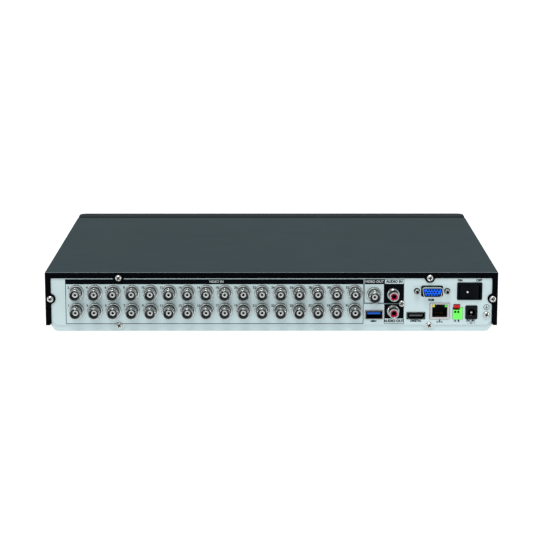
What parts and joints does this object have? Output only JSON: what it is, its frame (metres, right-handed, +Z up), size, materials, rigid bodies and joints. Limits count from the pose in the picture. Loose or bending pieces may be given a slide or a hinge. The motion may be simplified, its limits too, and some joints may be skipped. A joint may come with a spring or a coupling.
{
  "type": "video recorder",
  "caption": "Low desktop digital video recorder with rows of coaxial camera inputs, monitor, audio, network and power sockets and a rocker switch on its rear plate.",
  "frame": {"origin": "centre of the bounding box's bottom face, on the surface the four rubber feet stand on", "axes": "+X to the right when facing the rear connector plate, +Y from the rear plate towards the front bezel, +Z up"},
  "size_m": [0.375, 0.3006, 0.053],
  "materials": {
    "cover_paint": "fine textured dark grey powder coat",
    "zinc_plate": "bright zinc-plated sheet steel",
    "bezel_plastic": "fine textured black",
    "black_plastic": "moulded black",
    "window_plastic": "smoked, polished",
    "nickel": "nickel plated",
    "screw_zinc": "zinc plated",
    "white_plastic": "white insulator",
    "crimson_plastic": "crimson insulator",
    "blue_tongue": "blue",
    "blue_insulator": "blue",
    "terminal_green": "bright green",
    "lever_red": "red",
    "board_green": "solder mask over copper",
    "foot_rubber": "black",
    "drive_metal": "cast and brushed",
    "sink_metal": "extruded, anodised",
    "lead_black": "cable jacket",
    "lead_grey": "flat ribbon jacket"
  },
  "bodies": {
    "chassis": {"audio_housing": "black_plastic", "audio_in_collar": "nickel", "audio_in_insert": "crimson_plastic", "audio_out_collar": "nickel", "audio_out_insert": "crimson_plastic", "audio_screw": "screw_zinc", "base_tray": "zinc_plate", "cover_screw_side_left": "screw_zinc", "cover_screw_side_right": "screw_zinc", "cover_screw_top_left": "screw_zinc", "cover_screw_top_right": "screw_zinc", "digital_video_shell": "nickel", "digital_video_tongue": "black_plastic", "drive_lead_1": "lead_black", "drive_lead_2": "lead_black", "fan_frame": "black_plastic", "foot_front_left": "foot_rubber", "foot_front_right": "foot_rubber", "foot_rear_left": "foot_rubber", "foot_rear_right": "foot_rubber", "front_bezel": "bezel_plastic", "front_ribbon": "lead_grey", "front_usb_socket": "nickel", "ground_screw": "screw_zinc", "hard_drive_1": "drive_metal", "hard_drive_2": "drive_metal", "heatsink": "sink_metal", "indicator_board": "board_green", "indicator_window": "window_plastic", "lan_insert": "black_plastic", "lan_shell": "nickel", "main_board": "board_green", "panel_screw_left": "screw_zinc", "panel_screw_right": "screw_zinc", "power_inlet_housing": "black_plastic", "power_inlet_pin": "nickel", "power_switch_housing": "black_plastic", "rear_panel": "zinc_plate", "terminal_block": "terminal_green", "top_cover": "cover_paint", "usb_shell": "nickel", "usb_tongue": "blue_tongue", "vga_insulator": "blue_insulator", "vga_jackscrew_left": "nickel", "vga_jackscrew_right": "nickel", "vga_shell": "nickel", "video_in_bank_1": "nickel", "video_in_bank_2": "nickel", "video_in_bank_3": "nickel", "video_in_bank_4": "nickel", "video_in_insulators_1": "white_plastic", "video_in_insulators_2": "white_plastic", "video_in_insulators_3": "white_plastic", "video_in_insulators_4": "white_plastic", "video_out_insulator": "white_plastic", "video_out_shell": "nickel"},
    "power_rocker": {"power_switch_rocker": "black_plastic"},
    "release_lever_a": {"terminal_lever_a": "lever_red"},
    "release_lever_b": {"terminal_lever_b": "lever_red"},
    "fan_wheel": {"fan_rotor": "black_plastic"}
  },
  "joints": [
    {"name": "power_rocker_tilt", "type": "hinge", "parent": "chassis", "child": "power_rocker", "pos_m": [0.1641, -0.13525, 0.0369], "axis": [0, 0, 1], "range_deg": [0, 20]},
    {"name": "release_lever_a_press", "type": "hinge", "parent": "chassis", "child": "release_lever_a", "pos_m": [0.15245, -0.1288, 0.02135], "axis": [1, 0, 0], "range_deg": [0, 9], "stiffness_Nm_per_rad": 0.2},
    {"name": "release_lever_b_press", "type": "hinge", "parent": "chassis", "child": "release_lever_b", "pos_m": [0.15499, -0.1288, 0.02135], "axis": [1, 0, 0], "range_deg": [0, 9], "stiffness_Nm_per_rad": 0.2},
    {"name": "fan_spin", "type": "hinge", "parent": "chassis", "child": "fan_wheel", "pos_m": [0.1725, 0.04565, 0.0248], "axis": [1, 0, 0], "continuous": true}
  ]
}
